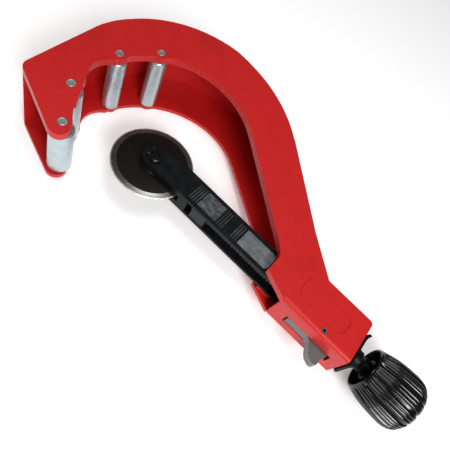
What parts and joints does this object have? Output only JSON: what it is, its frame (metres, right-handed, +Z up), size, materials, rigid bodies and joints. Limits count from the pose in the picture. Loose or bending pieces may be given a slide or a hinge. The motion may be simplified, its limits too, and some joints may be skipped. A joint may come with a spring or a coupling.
{
  "type": "pipe cutter",
  "caption": "Telescopic pipe cutter: a hooked channel frame with guide rollers, a sliding screw-fed bar with a cutting wheel, a ribbed knob and a release lever.",
  "frame": {"origin": "centre of the closed-up tool's bounding box, at its lowest face, with the tool lying flat on the broad side of the hooked frame", "axes": "+X along the feed bar towards the knob, +Y from the hook's mouth towards the frame's back, +Z up, square to the frame's side plates"},
  "size_m": [0.3603, 0.1778, 0.06],
  "materials": {
    "red_paint": "satin die-cast paint",
    "zinc_steel": "satin zinc plate",
    "pin_steel": "turned, zinc plated",
    "black_cast": "black enamel over cast metal",
    "dark_steel": "hardened tool steel, dark oxide",
    "bronze": "sintered bronze",
    "black_oxide": "black oxide",
    "grey_steel": "grey phosphate",
    "knob_black": "glossy moulded plastic",
    "spring_steel": "bright spring wire"
  },
  "bodies": {
    "frame": {"frame": "red_paint", "pin_tip": "pin_steel", "pin_hook": "pin_steel", "pin_left": "pin_steel", "pin_top": "pin_steel", "lever_pin": "black_oxide", "lever_spring": "spring_steel"},
    "feed": {"feed_bar": "black_cast", "axle_screw": "black_oxide", "axle_nut": "black_oxide", "thrust_block": "grey_steel", "end_guide": "black_cast", "guide_screw_front": "grey_steel", "guide_screw_back": "grey_steel"},
    "wheel": {"cutting_wheel": "dark_steel", "wheel_bush": "bronze"},
    "screw": {"spindle": "grey_steel", "spindle_clip": "spring_steel", "thrust_washer": "bronze", "knob": "knob_black", "knob_insert": "grey_steel", "knob_cap": "knob_black", "knob_pin": "grey_steel"},
    "lever": {"release_lever": "grey_steel", "half_nut": "bronze"},
    "roller_tip": {"roller_tip": "zinc_steel"},
    "roller_hook": {"roller_hook": "zinc_steel"},
    "roller_left": {"roller_left": "zinc_steel"},
    "roller_top": {"roller_top": "zinc_steel"}
  },
  "joints": [
    {"name": "feed_slide", "type": "slide", "parent": "frame", "child": "feed", "axis": [1, 0, 0], "range_m": [0, 0.09]},
    {"name": "screw_spin", "type": "hinge", "parent": "feed", "child": "screw", "pos_m": [0.04165, -0.03415, 0.03], "axis": [1, 0, 0], "range_deg": [-5, 10805]},
    {"name": "wheel_spin", "type": "hinge", "parent": "feed", "child": "wheel", "pos_m": [-0.07835, -0.03415, 0.03], "axis": [0, 0, 1], "continuous": true},
    {"name": "lever_release", "type": "hinge", "parent": "frame", "child": "lever", "pos_m": [0.09355, -0.04565, 0.03], "axis": [0, 0, 1], "range_deg": [0, 8], "stiffness_Nm_per_rad": 1, "springref_deg": -8.59},
    {"name": "roller_tip_spin", "type": "hinge", "parent": "frame", "child": "roller_tip", "pos_m": [-0.12766, -0.07781, 0.03], "axis": [0, 0, 1], "continuous": true},
    {"name": "roller_hook_spin", "type": "hinge", "parent": "frame", "child": "roller_hook", "pos_m": [-0.14808, -0.05276, 0.03], "axis": [0, 0, 1], "continuous": true},
    {"name": "roller_left_spin", "type": "hinge", "parent": "frame", "child": "roller_left", "pos_m": [-0.15175, -0.00409, 0.03], "axis": [0, 0, 1], "continuous": true},
    {"name": "roller_top_spin", "type": "hinge", "parent": "frame", "child": "roller_top", "pos_m": [-0.1364, 0.02557, 0.03], "axis": [0, 0, 1], "continuous": true}
  ],
  "couplings": [
    {"joint": "screw_spin", "follows": "feed_slide", "rad_per_m": 2094.4}
  ]
}
